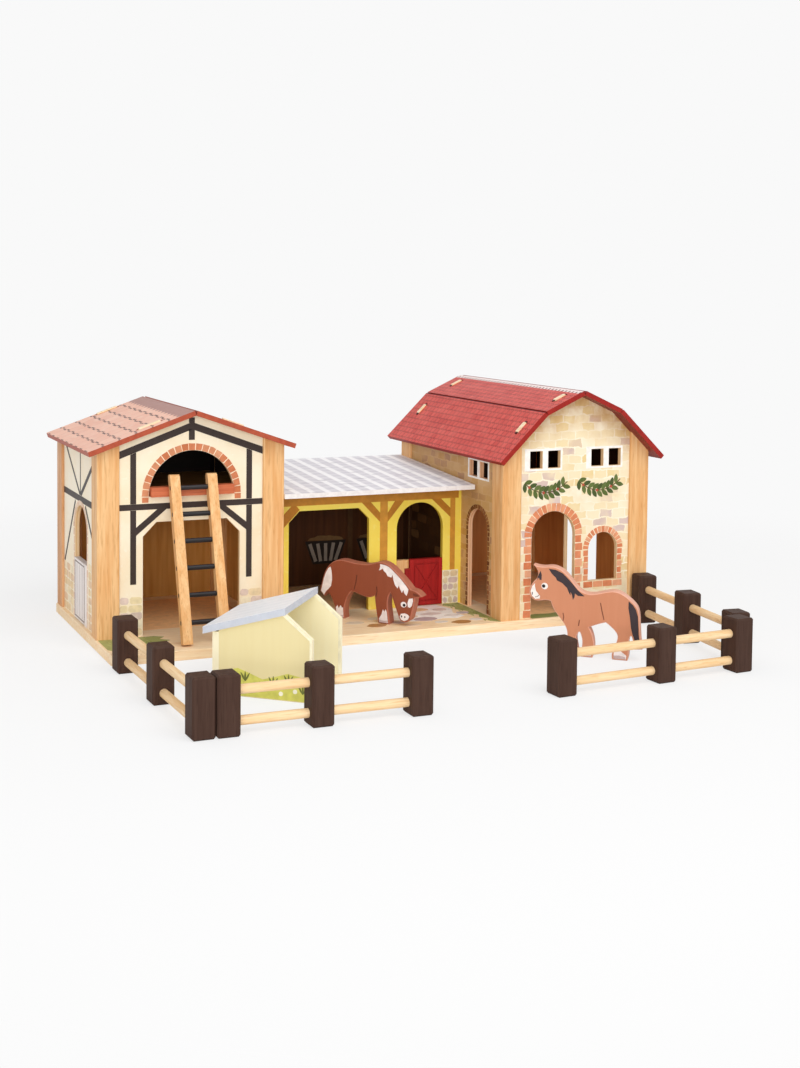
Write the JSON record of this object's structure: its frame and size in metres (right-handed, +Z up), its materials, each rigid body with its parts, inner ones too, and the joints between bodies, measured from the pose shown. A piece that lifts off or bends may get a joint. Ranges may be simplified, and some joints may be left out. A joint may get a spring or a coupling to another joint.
{
  "type": "toy stable",
  "caption": "Wooden toy stable: tower with loft and ladder, lean-to with half door and barn on one board, with loose fences, a shelter, a mare and a foal.",
  "frame": {"origin": "on the ground, in the middle of the set's overall width and depth", "axes": "+X to the right along the front, from the tower to the barn; +Y from the yard to the back; +Z up"},
  "size_m": [0.6186, 0.5006, 0.2501],
  "materials": {
    "base_board": "plywood with a printed top under clear satin lacquer",
    "natural_wood": "clear satin lacquer",
    "tower_walls": "printed plywood under satin lacquer",
    "loft_board": "clear satin lacquer",
    "sill_terracotta": "satin paint",
    "tower_roof": "printed plywood under satin lacquer",
    "stable_walls": "printed plywood under satin lacquer",
    "stable_roof": "printed plywood under satin lacquer",
    "red_door": "satin paint",
    "white_door": "printed plywood under satin lacquer",
    "barn_walls": "printed plywood under satin lacquer",
    "barn_roof": "printed plywood under satin lacquer",
    "black_rungs": "satin paint",
    "dark_posts": "satin paint",
    "shelter_walls": "printed plywood under satin lacquer",
    "shelter_roof": "satin paint",
    "mare_paint": "printed faces and painted edges under satin lacquer",
    "foal_paint": "printed faces and painted edges under satin lacquer",
    "steel_pin": "drawn wire"
  },
  "bodies": {
    "building": {"barn_post_back_left": "natural_wood", "barn_post_back_right": "natural_wood", "barn_post_front_left": "natural_wood", "barn_post_front_right": "natural_wood", "barn_roof_left_high": "barn_roof", "barn_roof_left_low": "barn_roof", "barn_roof_right_high": "barn_roof", "barn_roof_right_low": "barn_roof", "barn_wall_back": "barn_walls", "barn_wall_front": "barn_walls", "barn_wall_left": "barn_walls", "barn_wall_right": "barn_walls", "base_board": "base_board", "loft_floor": "loft_board", "loft_sill": "sill_terracotta", "side_door_pin": "steel_pin", "side_door_stile": "natural_wood", "stable_roof": "stable_roof", "stable_wall_back": "stable_walls", "stable_wall_front": "stable_walls", "stall_door_pin": "steel_pin", "stall_door_stile": "natural_wood", "tower_post_back_left": "natural_wood", "tower_post_back_right": "natural_wood", "tower_post_front_left": "natural_wood", "tower_post_front_right": "natural_wood", "tower_roof_left": "tower_roof", "tower_roof_right": "tower_roof", "tower_wall_back": "tower_walls", "tower_wall_front": "tower_walls", "tower_wall_left": "tower_walls", "tower_wall_right": "tower_walls"},
    "stall_door": {"stall_door_leaf": "red_door"},
    "side_door": {"side_door_leaf": "white_door"},
    "ladder": {"ladder_rungs": "black_rungs", "ladder_stringer_left": "natural_wood", "ladder_stringer_right": "natural_wood"},
    "fence_a": {"fence_a_post_first": "dark_posts", "fence_a_post_last": "dark_posts", "fence_a_post_middle": "dark_posts", "fence_a_rails": "natural_wood"},
    "fence_b": {"fence_b_post_first": "dark_posts", "fence_b_post_last": "dark_posts", "fence_b_post_middle": "dark_posts", "fence_b_rails": "natural_wood"},
    "fence_c": {"fence_c_post_first": "dark_posts", "fence_c_post_last": "dark_posts", "fence_c_post_middle": "dark_posts", "fence_c_rails": "natural_wood"},
    "fence_d": {"fence_d_post_first": "dark_posts", "fence_d_post_last": "dark_posts", "fence_d_post_middle": "dark_posts", "fence_d_rails": "natural_wood"},
    "shelter": {"shelter_gable_back": "shelter_walls", "shelter_gable_front": "shelter_walls", "shelter_roof": "shelter_roof", "shelter_wall_side": "shelter_walls"},
    "mare": {"horse_mare": "mare_paint"},
    "foal": {"horse_foal": "foal_paint"}
  },
  "joints": [
    {"name": "stall_door_hinge", "type": "hinge", "parent": "building", "child": "stall_door", "pos_m": [0.05662, 0.08875, 0.035], "axis": [0, 0, -1], "range_deg": [0, 90]},
    {"name": "side_door_hinge", "type": "hinge", "parent": "building", "child": "side_door", "pos_m": [-0.29218, 0.11555, 0.041], "axis": [0, 0, 1], "range_deg": [0, 90]},
    {"name": "ladder_lift_off", "type": "slide", "parent": "building", "child": "ladder", "axis": [0, -0.9608, 0.2773], "range_m": [0, 0.03]},
    {"name": "fence_a_lift", "type": "slide", "parent": "building", "child": "fence_a", "axis": [0, 0, 1], "range_m": [0, 0.1]},
    {"name": "fence_b_lift", "type": "slide", "parent": "building", "child": "fence_b", "axis": [0, 0, 1], "range_m": [0, 0.1]},
    {"name": "fence_c_lift", "type": "slide", "parent": "building", "child": "fence_c", "axis": [0, 0, 1], "range_m": [0, 0.1]},
    {"name": "fence_d_lift", "type": "slide", "parent": "building", "child": "fence_d", "axis": [0, 0, 1], "range_m": [0, 0.1]},
    {"name": "shelter_lift", "type": "slide", "parent": "building", "child": "shelter", "axis": [0, 0, 1], "range_m": [0, 0.1]},
    {"name": "foal_lift", "type": "slide", "parent": "building", "child": "foal", "axis": [0, 0, 1], "range_m": [0, 0.1]},
    {"name": "mare_lift", "type": "slide", "parent": "building", "child": "mare", "axis": [0, 0, 1], "range_m": [0, 0.045]}
  ]
}
